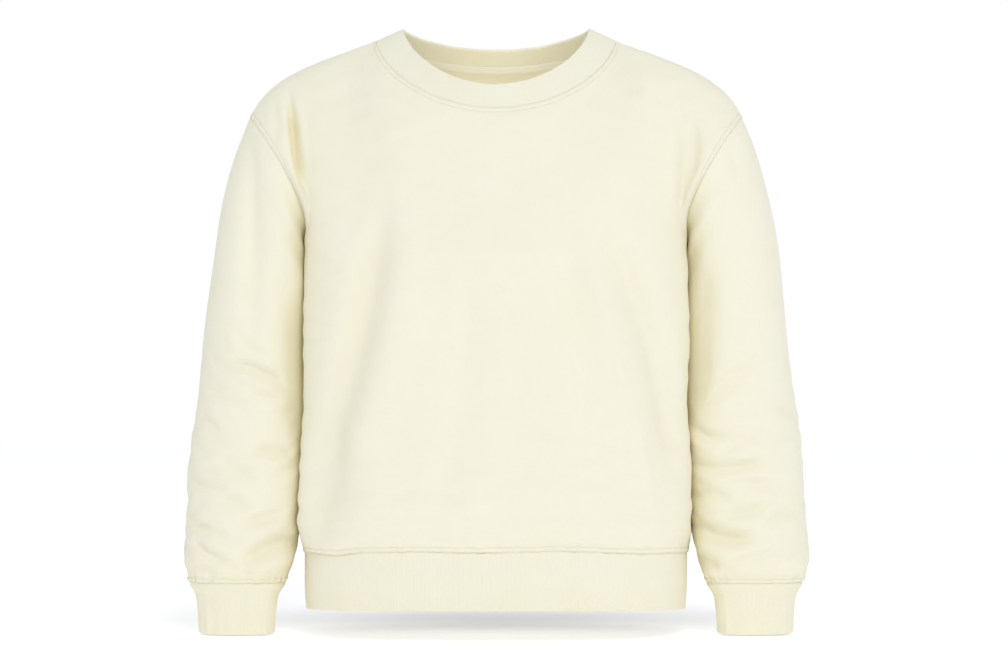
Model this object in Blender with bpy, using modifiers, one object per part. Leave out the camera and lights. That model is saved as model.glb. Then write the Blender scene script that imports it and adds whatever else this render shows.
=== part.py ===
"""A crewneck sweatshirt of fleece-backed jersey, filled out as it is when worn, as its cut pieces.

Metres, +Z up. The front faces -Y, and "left" is the side at -X. The origin lies midway between the
two points where the shoulder seams meet the neck seam, at their height. Every cloth piece is an
open surface lofted between sections worked out below, with a Solidify wall that grows inwards.
"""

import math

import bpy
import numpy as np

# ------------------------------------------------------------------ walls
FLEECE = 0.0020  # body and sleeve fabric
RIB = 0.0030  # neck, cuff and hem rib, folded double
TAPE = 0.0012  # tape that covers the back neck seam inside
SEAM_GAP = 0.0003  # between two sewn pieces, and under the tape
SEAM_DIP = 0.0008  # how far a seam draws the edges of the cloth in

# ------------------------------------------------------------------ heights, down from the neck point
HEM_SEAM = -0.564
HEM_EDGE = -0.626
UNDERARM = -0.235
CUFF_SEAM = -0.594
CUFF_EDGE = -0.650

# ------------------------------------------------------------------ mesh counts
NECK_STEPS = 8  # columns from the centre line to the neck point
SHOULDER_STEPS = 7  # columns from the neck point to the armhole
ARMHOLE_STEPS = 10  # rows from the underarm to the shoulder
BODY_STEPS = 5  # rows from the hem seam to the underarm
SLEEVE_STEPS = 10
HEM_STEPS = 12  # columns in a quarter of the hem
CUFF_STEPS = 5  # columns in a quarter of a cuff
SEAM_ROW = 0.012  # share of a patch taken by the narrow row along a seam


def table(columns, *rows):
    """The rows as one array for each named column."""
    names = columns.split()
    return {name: np.array([row[i] for row in rows]) for i, name in enumerate(names)}


# Level sections of the body, from the hem seam to the underarm.
BODY = table(
    "height   half_width  front   back",
    (HEM_SEAM, 0.2105, 0.1010, 0.0960),
    (-0.552, 0.2135, 0.1075, 0.1020),
    (-0.518, 0.2165, 0.1130, 0.1060),
    (-0.460, 0.2160, 0.1155, 0.1080),
    (-0.390, 0.2125, 0.1170, 0.1100),
    (-0.310, 0.2125, 0.1175, 0.1130),
    (UNDERARM, 0.2105, 0.1150, 0.1140),
)
SIDE_SEAM_Y = 0.010  # the side seam runs this far behind the shoulder line
CORNER_X, CORNER_Y = 0.74, 0.78  # how square a quarter section is, 0.55 being an ellipse

# The neck seam and the rib's folded edge: half an oval each at the front and the back.
NECK = table(
    "facing  seam_depth  seam_drop  seam_bend  edge_depth  edge_drop  edge_bend",
    (-1, 0.084, 0.080, 1.27, 0.074, 0.0675, 1.30),
    (1, 0.066, 0.0195, 1.70, 0.047, 0.0165, 1.70),
)
NECK_SIDE = {"seam": (0.131, 0), "edge": (0.102, 0.0135)}  # x and z where each meets the shoulder
NECK_SHARE = 0.46  # share of a panel's columns that end at the neck seam
TAPE_DROP = 0.046  # the tape's width, as a share of the back panel's rise above the underarm
TAPE_REACH = 0.97  # how far the tape runs towards the neck points

# The shoulder seam and the armhole as cubic curves; the armhole has a front and a back half.
SHOULDER = np.array([(0.131, 0, 0), (0.186, 0, -0.022), (0.253, 0, -0.031), (0.270, 0, -0.085)])
SHOULDER_TIP = SHOULDER[-1]
UNDERARM_POINT = np.array([BODY["half_width"][-1], SIDE_SEAM_Y, UNDERARM])
ARMHOLE_REACH = {
    -1: np.array([(0.183, -0.098, -0.188), (0.270, -0.075, -0.085)]),
    1: np.array([(0.197, 0.112, -0.190), (0.270, 0.080, -0.085)]),
}
ARMHOLE_ZONE = 0.62  # share of a panel's columns before the armhole starts to shape them

# Sections of the sleeve, from below the underarm to the cuff seam.
SLEEVE = table(
    "height  centre_x  centre_y  half_width  half_depth",
    (-0.262, 0.2602, 0.010, 0.0542, 0.067),
    (-0.330, 0.2638, 0.012, 0.0578, 0.063),
    (-0.400, 0.2682, 0.011, 0.0622, 0.059),
    (-0.470, 0.2730, 0.007, 0.0650, 0.054),
    (-0.530, 0.2780, 0.002, 0.0635, 0.048),
    (-0.572, 0.2822, -0.003, 0.0598, 0.042),
    (CUFF_SEAM, 0.2835, -0.006, 0.0530, 0.033),
)
SLEEVE_CORNERS = [0.60, 0.70, 0.58, 0.58]  # how square each quarter is, from the outermost point
SLEEVE_HEAD = 0.42  # share of the sleeve's rows above its first level section
ARM_HOLLOW = 0.013  # how far the hanging sleeve presses the body's side in
HOLLOW_TOP, HOLLOW_FOOT = -0.215, -0.540
HOLLOW_Y, HOLLOW_HALF = 0.007, 0.036  # where the hollow lies, and half its width
HEM_LIFT = 0.008  # how much higher the hem hangs at the centre front than at the sides
LIFT_TOP = -0.400  # where that lift has died out

CUFF = table(
    "height  centre_x  centre_y  half_width  half_depth",
    (CUFF_SEAM, 0.2835, -0.006, 0.0524, 0.0326),
    (-0.597, 0.2835, -0.006, 0.0522, 0.0325),
    (-0.606, 0.2838, -0.007, 0.0465, 0.0290),
    (-0.623, 0.2840, -0.008, 0.0432, 0.0270),
    (CUFF_EDGE, 0.2840, -0.009, 0.0415, 0.0260),
)

HEM = table(
    "height  half_width  front  back",
    (HEM_SEAM, 0.2100, 0.1005, 0.0955),
    (-0.576, 0.2105, 0.1015, 0.0965),
    (-0.607, 0.2100, 0.1010, 0.0960),
    (HEM_EDGE, 0.2085, 0.0995, 0.0945),
)

# Soft folds of a panel as seen from the front: a line from start to end, bowed sideways.
FOLDS = table(
    "facing  start_x  start_z  end_x   end_z   bow     width  depth",
    (-1, -0.225, -0.072, -0.211, -0.190, 0.004, 0.012, 0.010),  # left armpit crease
    (-1, 0.214, -0.098, 0.207, -0.195, -0.001, 0.013, 0.007),  # right armpit crease
    (-1, -0.119, -0.205, -0.190, -0.515, 0.006, 0.020, 0.009),  # long left fold
    (-1, 0.119, -0.215, 0.192, -0.455, 0.015, 0.018, 0.006),  # long right fold
    (1, -0.225, -0.085, -0.208, -0.185, 0.004, 0.014, 0.009),
    (1, 0.228, -0.080, 0.208, -0.180, -0.004, 0.014, 0.010),
    (1, 0.070, -0.180, 0.165, -0.480, 0.015, 0.022, 0.008),
    (1, -0.105, -0.215, -0.172, -0.500, -0.014, 0.020, 0.006),
)

# ------------------------------------------------------------------ colours
PALE_YELLOW = (0.90, 0.87, 0.68, 1)
RIB_YELLOW = (0.88, 0.85, 0.66, 1)
TAPE_YELLOW = (0.86, 0.82, 0.62, 1)


# ================================================================== curves
def smooth(t):
    """0 to 1 with level ends."""
    t = np.clip(t, 0, 1)
    return t * t * (3 - 2 * t)


def bezier(a, b, c, d, t):
    return a * (1 - t) ** 3 + 3 * b * t * (1 - t) ** 2 + 3 * c * t * t * (1 - t) + d * t**3


def bezier_points(controls, t):
    """Points of a cubic curve for an array of t, with x, y, z last."""
    return bezier(*controls, np.asarray(t)[..., None])


def read(rows, column, height):
    """A table's column as a smooth curve over its heights."""
    x, y = rows["height"], rows[column]
    if x[0] > x[-1]:
        x, y = x[::-1], y[::-1]
    slopes = np.gradient(y, x)
    height = np.clip(height, x[0], x[-1])
    i = np.clip(np.searchsorted(x, height) - 1, 0, len(x) - 2)
    step = x[i + 1] - x[i]
    t = (height - x[i]) / step
    rise = y[i] + step * slopes[i] / 3, y[i + 1] - step * slopes[i + 1] / 3
    return bezier(y[i], *rise, y[i + 1], t)


def points(x, y, z):
    return np.stack(np.broadcast_arrays(x, y, z), axis=-1)


def unit(vectors):
    return vectors / np.linalg.norm(vectors, axis=-1, keepdims=True)


# ================================================================== the body's surface
def body_section(rows, facing, across, height):
    """Points round a level section: across runs from 0 at the centre line to 1 at the side seam."""
    wide = read(rows, "half_width", height)
    deep = facing * read(rows, "front" if facing < 0 else "back", height)
    x = bezier(0, CORNER_X * wide, wide, wide, across)
    y = bezier(deep, deep, SIDE_SEAM_Y + CORNER_Y * (deep - SIDE_SEAM_Y), SIDE_SEAM_Y, across)
    return points(x, y, height)


def neck_ring(part, facing, turn):
    """The neck seam or the rib's edge: turn runs from 0 at the centre line to 1 at the shoulder."""
    row = list(NECK["facing"]).index(facing)
    half, top = NECK_SIDE[part]
    depth, drop, bend = (NECK[part + word][row] for word in ("_depth", "_drop", "_bend"))
    angle = turn * math.pi / 2
    level = np.clip(np.cos(angle), 0, 1)
    return points(half * np.sin(angle), facing * depth * level, top - drop * level**bend)


def armhole(facing, t):
    """Half of the armhole, from the underarm (t 0) to the shoulder tip (t 1)."""
    return bezier_points([UNDERARM_POINT, *ARMHOLE_REACH[facing], SHOULDER_TIP], t)


def panel_top(facing, across):
    """The panel's upper edge, and the way its cloth runs up to it."""
    turn = np.clip(across / NECK_SHARE, 0, 1)
    along = np.clip((across - NECK_SHARE) / (1 - NECK_SHARE), 0, 1)
    at_neck = (across < NECK_SHARE)[..., None]
    seam, edge = neck_ring("seam", facing, turn), neck_ring("edge", facing, turn)
    over = points(0, -facing, 0)
    lean = (0.45 * turn**2)[..., None]
    up_neck = unit(unit(edge - seam) * (1 - lean) + over * lean)
    shoulder = bezier_points(SHOULDER, along)
    slope = unit(shoulder - bezier_points(SHOULDER, along + 0.01))
    up_shoulder = unit(over * 0.45 + slope * (0.55 * (1 - along) ** 3)[..., None])
    top = np.where(at_neck, seam, shoulder)
    return top, np.where(at_neck, up_neck, up_shoulder)


def upper_patch(facing, across, up):
    """The panel above the underarm: up runs from 0 at that level to 1 at the neck or shoulder."""
    low = body_section(BODY, facing, across, UNDERARM)
    top, way = panel_top(facing, across)
    turn = np.clip(across / NECK_SHARE, 0, 1)
    climb = (0.36 + 0.19 * smooth(turn))[..., None] * (top - low)[..., 2:]
    deep = np.abs(low[..., 1] - top[..., 1])
    high = top[..., 2] - low[..., 2]
    reach = (1 - smooth(turn)) * 0.34 * high + smooth(turn) * (0.50 * deep + 0.02)
    shaped = smooth((across - ARMHOLE_ZONE) / (1 - ARMHOLE_ZONE))[..., None]
    from_low = climb * np.array([0, 0, 1]) * (1 - shaped)
    from_low = from_low + (ARMHOLE_REACH[facing][0] - UNDERARM_POINT) * shaped
    from_top = way * -reach[..., None] * (1 - shaped)
    from_top = from_top + (ARMHOLE_REACH[facing][1] - SHOULDER_TIP) * shaped
    return bezier(low, low + from_low, top + from_top, top, up[..., None])


def arm_hollow(surface):
    """Presses the body's side in where the sleeve hangs against it."""
    x, y, z = np.moveaxis(surface, -1, 0)
    middle, half = (HOLLOW_TOP + HOLLOW_FOOT) / 2, (HOLLOW_TOP - HOLLOW_FOOT) / 2
    window = smooth((1 - np.abs(z - middle) / half) * 3)
    press = ARM_HOLLOW * window * np.exp(-(((y - HOLLOW_Y) / HOLLOW_HALF) ** 2))
    return points(x - np.where(np.abs(x) > 0.15, np.sign(x) * press, 0), y, z)


def lifted(surface):
    """Raises the front of the lower body, which the chest takes up."""
    x, y, z = np.moveaxis(surface, -1, 0)
    ahead = np.clip((SIDE_SEAM_Y - y) / (SIDE_SEAM_Y + BODY["front"][0]), 0, 1)
    return points(x, y, z + HEM_LIFT * ahead * smooth((LIFT_TOP - z) / (LIFT_TOP - HEM_SEAM)))


def panel_surface(facing, side_across, level):
    """A panel's base form. side_across runs from -1 to 1, and level from -1 at the hem through
    0 at the underarm to 1 at the shoulder."""
    across, side = np.abs(side_across), np.where(side_across < 0, -1, 1)
    height = UNDERARM + (UNDERARM - HEM_SEAM) * np.minimum(level, 0)
    lower = body_section(BODY, facing, across, height)
    upper = upper_patch(facing, across, np.clip(level, 0, 1))
    surface = lifted(arm_hollow(np.where((level < 0)[..., None], lower, upper)))
    surface[..., 0] *= side
    return surface


# ================================================================== folds
def normals_of(surface):
    """Unit normals of a grid of points, pointing away from the body's middle."""
    across = np.gradient(surface, axis=1)
    up = np.gradient(surface, axis=0)
    return unit(np.cross(across, up))


def fold_depths(facing, surface):
    """How far each point sinks into the folds listed for its panel."""
    x, z = surface[..., 0], surface[..., 2]
    depth = np.zeros(x.shape)
    for i in np.flatnonzero(FOLDS["facing"] == facing):
        fold = {name: values[i] for name, values in FOLDS.items()}
        start = np.array([fold["start_x"], fold["start_z"]])
        run = np.array([fold["end_x"], fold["end_z"]]) - start
        length = np.hypot(*run)
        along = ((x - start[0]) * run[0] + (z - start[1]) * run[1]) / length**2
        off = ((x - start[0]) * run[1] - (z - start[1]) * run[0]) / length
        off = off + fold["bow"] * 4 * along * (1 - along)
        taper = smooth((along + 0.15) / 0.4) * smooth((1.15 - along) / 0.4)
        depth += fold["depth"] * taper * np.exp(-((off / fold["width"]) ** 2))
    return depth


def folded(facing, surface, side_across, level):
    """The surface with its folds, which die out at the seams so that the pieces still meet."""
    free = smooth((1 - np.abs(side_across)) / 0.16)
    free = free * smooth((1 - level) / 0.16) * smooth((level + 1) / 0.10)
    sink = fold_depths(facing, surface) * free
    return surface + facing * normals_of(surface) * sink[..., None]


# ================================================================== building
def drawn_in(grid, closed):
    """The grid with its edges drawn back from the seams along the cloth, and turned in a little,
    as stitches do. A closed grid has only a first and a last row to draw in."""
    for _ in range(2 if closed else 4):
        edge = grid[0]
        around = np.roll(edge, -1, 0) - np.roll(edge, 1, 0)
        run = unit(around if closed else np.gradient(edge, axis=0))
        way = grid[1] - edge
        way = unit(way - run * np.sum(way * run, axis=-1, keepdims=True))
        grid = grid.copy()
        grid[0] = edge + way * SEAM_GAP / 2 - np.cross(run, way) * SEAM_DIP
        grid = np.rot90(grid, 2 if closed else 1)
    return grid


def mirrored(grid):
    """The grid for the other side of the body, its columns still running to the right."""
    return grid[:, ::-1] * np.array([-1, 1, 1])


def loft(name, grid, closed, wall, colour):
    """An object for a grid of points whose columns run to the right and rows up, seen from
    outside: quads between them, and a wall that grows inwards."""
    rows, columns = grid.shape[:2]
    spans = columns if closed else columns - 1
    faces = [
        (
            row * columns + span,
            row * columns + (span + 1) % columns,
            (row + 1) * columns + (span + 1) % columns,
            (row + 1) * columns + span,
        )
        for row in range(rows - 1)
        for span in range(spans)
    ]
    mesh = bpy.data.meshes.new(name)
    mesh.from_pydata(grid.reshape(-1, 3).tolist(), [], faces)
    mesh.shade_smooth()
    mesh.materials.append(colour)
    piece = bpy.data.objects.new(name, mesh)
    SWEATSHIRT.objects.link(piece)
    thick = piece.modifiers.new("wall", "SOLIDIFY")
    thick.thickness = wall
    thick.offset = -1
    thick.use_rim = True
    return piece


def cloth(name, colour, roughness):
    material = bpy.data.materials.new(name)
    material.use_nodes = True
    shader = material.node_tree.nodes["Principled BSDF"]
    shader.inputs["Base Color"].default_value = colour
    shader.inputs["Roughness"].default_value = roughness
    shader.inputs["Metallic"].default_value = 0
    return material


def panel_columns():
    """Columns of half a panel, with a narrow one up to the neck point and one along the side."""
    neck = np.linspace(0, NECK_SHARE, NECK_STEPS + 1)[:-1]
    side = np.linspace(NECK_SHARE, 1, SHOULDER_STEPS + 1)[:-1]
    return np.concatenate([neck, [NECK_SHARE - SEAM_ROW / 2], side, [1 - SEAM_ROW, 1]])


def armhole_rows():
    return np.concatenate([np.linspace(0, 1, ARMHOLE_STEPS + 1)[:-1], [1 - SEAM_ROW, 1]])


def panel_grid(facing):
    half = panel_columns()
    across = np.concatenate([-half[:0:-1], half])
    body = np.linspace(-1, 0, BODY_STEPS + 1)[1:-1]
    levels = np.concatenate([[-1, SEAM_ROW - 1, 4 * SEAM_ROW - 1], body, armhole_rows()])
    level, side_across = np.meshgrid(levels, across, indexing="ij")
    surface = panel_surface(facing, side_across, level)
    grid = folded(facing, surface, side_across, level)
    return grid if facing < 0 else grid[:, ::-1]


def oval(rows, height, turn):
    """Level sections of a sleeve or cuff: turn 0 is outermost, 1/4 foremost, 1/2 innermost."""
    quarter = np.floor(turn * 4).astype(int) % 4
    t = turn * 4 - np.floor(turn * 4)
    corner = np.choose(quarter, SLEEVE_CORNERS)
    rise, fall = bezier(0, corner, 1, 1, t), bezier(1, 1, corner, 0, t)
    out = np.choose(quarter, [fall, -rise, -fall, rise])
    ahead = np.choose(quarter, [rise, fall, -rise, -fall])
    centre_x, centre_y = read(rows, "centre_x", height), read(rows, "centre_y", height)
    wide, deep = read(rows, "half_width", height), read(rows, "half_depth", height)
    return points(centre_x + wide * out, centre_y - deep * ahead, height)


def armhole_ring(turn):
    """The whole armhole: turn 0 at the shoulder tip, 1/4 in front, 1/2 at the underarm."""
    front = armhole(-1, np.clip(1 - 2 * turn, 0, 1))
    back = armhole(1, np.clip(2 * turn - 1, 0, 1))
    return np.where((turn < 0.5)[..., None], front, back)


def sleeve_surface(turn, down):
    """The right sleeve: down runs from 0 at the armhole to 1 at the cuff seam."""
    first = SLEEVE["height"][0]
    head = np.clip(down / SLEEVE_HEAD, 0, 1)[..., None]
    tail = np.clip((down - SLEEVE_HEAD) / (1 - SLEEVE_HEAD), 0, 1)
    ring, level = armhole_ring(turn), oval(SLEEVE, first, turn)
    outer = (0.5 + 0.5 * np.cos(2 * math.pi * turn))[..., None]
    fall = np.linalg.norm(level - ring, axis=-1, keepdims=True)
    leave = unit(points(0.42, 0, -0.91) * outer + points(0.75, 0, -0.66) * (1 - outer))
    arrive = (oval(SLEEVE, first - 0.01, turn) - level) / 0.01
    upper = bezier(ring, ring + leave * fall * 0.36, level - arrive * fall * 0.36, level, head)
    lower = oval(SLEEVE, first + (CUFF_SEAM - first) * tail, turn)
    return np.where((down < SLEEVE_HEAD)[..., None], upper, lower)


def sleeve_grid():
    front = armhole_rows()[:0:-1]
    turn = np.concatenate([(1 - front) / 2, [0.5], 1 - (1 - front[:0:-1]) / 2])
    main = np.linspace(0, 1, SLEEVE_STEPS + 1)[1:-1]
    levels = np.concatenate([[0, SEAM_ROW], main, [1 - 2 * SEAM_ROW, 1]])
    down, around = np.meshgrid(levels, turn, indexing="ij")
    return sleeve_surface(around, down)


def cuff_grid():
    turn = np.linspace(0, 1, 4 * CUFF_STEPS + 1)[:-1]
    height, around = np.meshgrid(CUFF["height"], turn, indexing="ij")
    return oval(CUFF, height, around)


def all_round(quarter, share_count):
    """Points round the body from a function of facing and share, which gives the right side's
    points from the centre line (0) to the side (1)."""
    share = np.linspace(0, 1, share_count + 1)[:-1]
    mirror = np.array([-1, 1, 1])
    parts = [
        quarter(-1, share),
        quarter(1, 1 - share),
        quarter(1, share) * mirror,
        quarter(-1, 1 - share) * mirror,
    ]
    return np.concatenate(parts, axis=-2)


def tape_grid():
    """The tape, from the back panel's points below the neck seam, moved inside its wall."""
    across = np.linspace(-1, 1, 2 * NECK_STEPS + 1) * NECK_SHARE * TAPE_REACH
    rows = 1 - np.array([TAPE_DROP, 0.1 * TAPE_DROP])
    level, side_across = np.meshgrid(rows, across[::-1], indexing="ij")
    surface = panel_surface(1, side_across, level)
    return surface - normals_of(surface) * (FLEECE + SEAM_DIP + SEAM_GAP)


def hem_grid():
    heights = HEM["height"][::-1, None]
    return lifted(all_round(
        lambda facing, share: body_section(HEM, facing, *np.broadcast_arrays(share, heights)),
        HEM_STEPS,
    ))


def neck_grid():
    seam = all_round(lambda facing, share: neck_ring("seam", facing, share), NECK_STEPS)
    edge = all_round(lambda facing, share: neck_ring("edge", facing, share), NECK_STEPS)
    share = np.linspace(0, 1, 3)[:, None, None]
    return seam * (1 - share) + edge * share


SWEATSHIRT = bpy.data.collections.new("crewneck_sweatshirt")


def main():
    for old in list(bpy.data.objects):
        bpy.data.objects.remove(old)
    bpy.context.scene.collection.children.link(SWEATSHIRT)
    fleece = cloth("fleece", PALE_YELLOW, 0.95)
    rib = cloth("rib_knit", RIB_YELLOW, 0.92)
    tape = cloth("neck_tape", TAPE_YELLOW, 0.90)
    loft("front_panel", drawn_in(panel_grid(-1), False), False, FLEECE, fleece)
    loft("back_panel", drawn_in(panel_grid(1), False), False, FLEECE, fleece)
    sleeve, cuff = drawn_in(sleeve_grid(), True), drawn_in(cuff_grid(), True)
    loft("sleeve_right", sleeve, True, FLEECE, fleece)
    loft("sleeve_left", mirrored(sleeve), True, FLEECE, fleece)
    loft("cuff_right", cuff, True, RIB, rib)
    loft("cuff_left", mirrored(cuff), True, RIB, rib)
    loft("hem_rib", drawn_in(hem_grid(), True), True, RIB, rib)
    loft("neck_rib", drawn_in(neck_grid(), True), True, RIB, rib)
    loft("neck_tape", tape_grid(), False, TAPE, tape)


main()
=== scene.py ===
"""How the crewneck sweatshirt looks: fine cloth in place of the CAD solids, light and camera.

Metres, +Z up, the front faces -Y, "left" is the side at -X. The shape functions follow the CAD
model's sections, a few millimetres fuller or lower at the shoulders, sides and sleeves. This
script adds the folds, the seams, the ribs, the stitches and the materials.
"""

import math

import bpy
import numpy as np
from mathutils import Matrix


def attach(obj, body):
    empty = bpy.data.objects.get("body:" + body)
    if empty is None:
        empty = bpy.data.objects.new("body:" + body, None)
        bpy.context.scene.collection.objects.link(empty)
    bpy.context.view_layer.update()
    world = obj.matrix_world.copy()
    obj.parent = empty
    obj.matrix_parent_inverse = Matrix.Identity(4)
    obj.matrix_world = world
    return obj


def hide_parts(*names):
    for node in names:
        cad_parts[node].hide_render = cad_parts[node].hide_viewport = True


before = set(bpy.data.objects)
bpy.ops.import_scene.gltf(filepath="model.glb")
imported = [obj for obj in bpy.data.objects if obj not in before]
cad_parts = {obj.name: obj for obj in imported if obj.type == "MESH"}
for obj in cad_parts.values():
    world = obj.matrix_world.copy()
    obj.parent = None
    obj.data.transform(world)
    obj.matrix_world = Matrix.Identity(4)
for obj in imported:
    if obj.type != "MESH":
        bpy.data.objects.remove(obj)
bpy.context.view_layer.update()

# ------ the garment's sizes
FLEECE, RIB, TAPE = 0.0020, 0.0030, 0.0012  # the cloths' thicknesses
SEAM_TUCK, SEAM_DIP = 0.00012, 0.00006  # how far an edge runs on past its seam, and turns in

HEM_SEAM = -0.564
HEM_EDGE = -0.626
UNDERARM = -0.235
CUFF_SEAM = -0.594
CUFF_EDGE = -0.650


def table(columns, *rows):
    """The rows as one array for each named column."""
    names = columns.split()
    return {name: np.array([row[i] for row in rows]) for i, name in enumerate(names)}


BODY = table(
    "height   half_width  front   back",
    (HEM_SEAM, 0.2105, 0.1010, 0.0960),
    (-0.552, 0.2135, 0.1075, 0.1020),
    (-0.518, 0.2165, 0.1130, 0.1060),
    (-0.460, 0.2160, 0.1155, 0.1080),
    (-0.390, 0.2125, 0.1170, 0.1100),
    (-0.310, 0.2125, 0.1175, 0.1130),
    (UNDERARM, 0.2105, 0.1150, 0.1140),
)
SIDE_SEAM_Y = 0.010
CORNER_X, CORNER_Y = 0.74, 0.78  # how square the body's sections are, from 0 to 1

NECK = table(
    "facing  seam_depth  seam_drop  seam_bend  edge_depth  edge_drop  edge_bend",
    (-1, 0.084, 0.080, 1.27, 0.074, 0.0675, 1.30),
    (1, 0.066, 0.0205, 1.70, 0.047, 0.0182, 1.70),
)
NECK_SIDE = {"seam": (0.131, 0), "edge": (0.102, 0.0135)}
NECK_SHARE = 0.46  # the neck seam's part of a panel's upper edge, from its middle
TAPE_DROP, TAPE_REACH = 0.046, 0.97  # shares of the back above the underarm, and of its neck seam
TAPE_GAP = 0.0011  # between the back's inside and the tape
TAPE_OVER = 0.0022  # how far the tape's upper edge covers the neckband's seam

SHOULDER = np.array([(0.131, 0, 0), (0.188, 0, -0.0245), (0.2475, 0, -0.0335), (0.270, 0, -0.085)])
SHOULDER_TIP = SHOULDER[-1]
UNDERARM_POINT = np.array([BODY["half_width"][-1], SIDE_SEAM_Y, UNDERARM])
ARMHOLE_REACH = {
    -1: np.array([(0.183, -0.098, -0.188), (0.270, -0.075, -0.085)]),
    1: np.array([(0.197, 0.112, -0.190), (0.270, 0.080, -0.085)]),
}
ARMHOLE_ZONE = 0.62  # from here to the side, a panel's columns turn into the armhole
SEAM_LEAN = 0.45  # how much the cloth at a shoulder runs straight over its seam
NEAR_SLEEVE = 0.15  # only cloth further out than this lies against a sleeve

SIDE_FULLNESS = table(
    "height  left  right",
    (HEM_SEAM, 0, 0),
    (-0.548, 0.0035, 0.0015),
    (-0.530, 0.0080, 0.0035),
    (-0.500, 0.0090, 0.0045),
    (-0.450, 0.0080, 0.0045),
    (-0.395, 0.0045, 0.0050),
    (-0.290, 0.0050, 0.0060),
    (-0.240, 0.0042, 0.0065),
    (-0.215, 0.0020, 0.0030),
    (-0.190, 0, 0),
)
FULLEST_Y, FULLEST_HALF = -0.046, 0.024
ARM_FILL, FILL_REACH = 0.0036, 0.014
FILL_AT, FILL_HALF = 0.62, 0.20

# where along the front the hem's seam rises or dips, how wide and how far
HEM_SWAY = [
    (-0.172, 0.018, -0.0030),
    (-0.085, 0.030, 0.0011),
    (0.065, 0.035, 0.0016),
    (0.160, 0.030, -0.0012),
]
SWAY_DEPTH, SWAY_HEIGHT = 0.06, 0.030

SLEEVE = table(
    "height  centre_x  centre_y  half_width  half_depth",
    (-0.262, 0.2602, 0.010, 0.0542, 0.067),
    (-0.330, 0.2638, 0.012, 0.0578, 0.063),
    (-0.400, 0.2682, 0.011, 0.0622, 0.059),
    (-0.470, 0.2730, 0.007, 0.0650, 0.054),
    (-0.530, 0.2780, 0.002, 0.0635, 0.048),
    (-0.572, 0.2822, -0.003, 0.0598, 0.042),
    (CUFF_SEAM, 0.2835, -0.006, 0.0530, 0.033),
)
SLEEVE_CORNERS = [0.60, 0.80, 0.58, 0.58]  # how square each quarter of its sections is
SLEEVE_HEAD = 0.42  # the share of its rows between the armhole and the first section
SLEEVE_REACH = 0.36
ARM_HOLLOW = 0.009  # how far a sleeve presses the body's side in
HOLLOW_TOP, HOLLOW_FOOT = -0.215, -0.540
HOLLOW_Y, HOLLOW_HALF = 0.007, 0.036
HEM_LIFT, LIFT_TOP = 0.008, -0.400  # how much higher the front hangs, and where that starts

CUFF = table(
    "height  centre_x  centre_y  half_width  half_depth",
    (CUFF_SEAM, 0.2835, -0.006, 0.0524, 0.0326),
    (-0.597, 0.2835, -0.006, 0.0522, 0.0325),
    (-0.606, 0.2838, -0.007, 0.0465, 0.0290),
    (-0.623, 0.2840, -0.008, 0.0432, 0.0270),
    (CUFF_EDGE, 0.2840, -0.009, 0.0415, 0.0260),
)

HEM = table(
    "height  half_width  front  back",
    (HEM_SEAM, 0.2105, 0.1010, 0.0960),
    (-0.576, 0.2105, 0.1015, 0.0965),
    (-0.607, 0.2100, 0.1010, 0.0960),
    (HEM_EDGE, 0.2085, 0.0995, 0.0945),
)

# ------ folds
# Each is a line on the cloth as seen from the front: start x and z, end x and z, how far it bows
# sideways, half its width and its depth, all in millimetres, and its lip. A trough has a soft lip
# beside it, to its right looking along the line where lip is positive.
FRONT_FOLDS = [
    # the creases that run down from the shoulders in front of the armholes
    (-224, -70, -205, -196, 2, 5, 15, 0),
    (-242, -70, -236, -115, 2, 6, 2.4, 0),
    (214, -98, 207, -195, -1, 8, 6, 0.35),
    # the long folds that fall towards the sides
    (-124, -205, -186, -450, 6, 19.5, 15, -0.45),
    (-146, -170, -166, -240, 0, 18, 3, 0),
    (-172, -425, -196, -535, 2, 22, 10.5, -0.3),
    (119, -215, 192, -455, 13, 19, 12.5, 0.4),
    (98, -255, 178, -540, 4, 7, -2.4, 0),
    (-27, -270, -60, -515, 7, 18, 4.2, -0.3),
    (79, -225, 112, -430, -8, 15, 4.2, 0.3),
    # small ones over the hem
    (-148, -490, -98, -503, 4, 7, 2, 0.5),
    (-108, -494, -40, -501, 6, 6, 2.2, 0.5),
    (-83, -536, -30, -545, -6, 6, 3.2, 0.5),
    (-40, -520, 12, -527, -4, 7, 1.8, 0.5),
    (40, -505, 95, -516, 5, 8, 1.2, -0.5),
    (120, -540, 158, -547, 3, 6, 1.4, 0.5),
    (-175, -530, -135, -541, 4, 6, 1.2, 0.5),
]
BACK_FOLDS = [
    (-228, -85, -209, -185, 4, 11, 7, -0.35),
    (230, -80, 209, -180, -4, 11, 7.5, 0.35),
    (70, -180, 165, -480, 15, 19, 7, 0.4),
    (-105, -215, -172, -500, -14, 17, 5.5, -0.4),
    (20, -260, 60, -500, -10, 20, 3, 0.3),
    (-45, -120, -20, -260, 6, 24, 2.2, 0),
    (-120, -505, -62, -520, 4, 8, 1.6, 0.5),
    (55, -530, 110, -541, -4, 7, 1.6, 0.5),
    (-10, -512, 50, -519, 4, 8, 1.4, 0.5),
]
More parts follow.
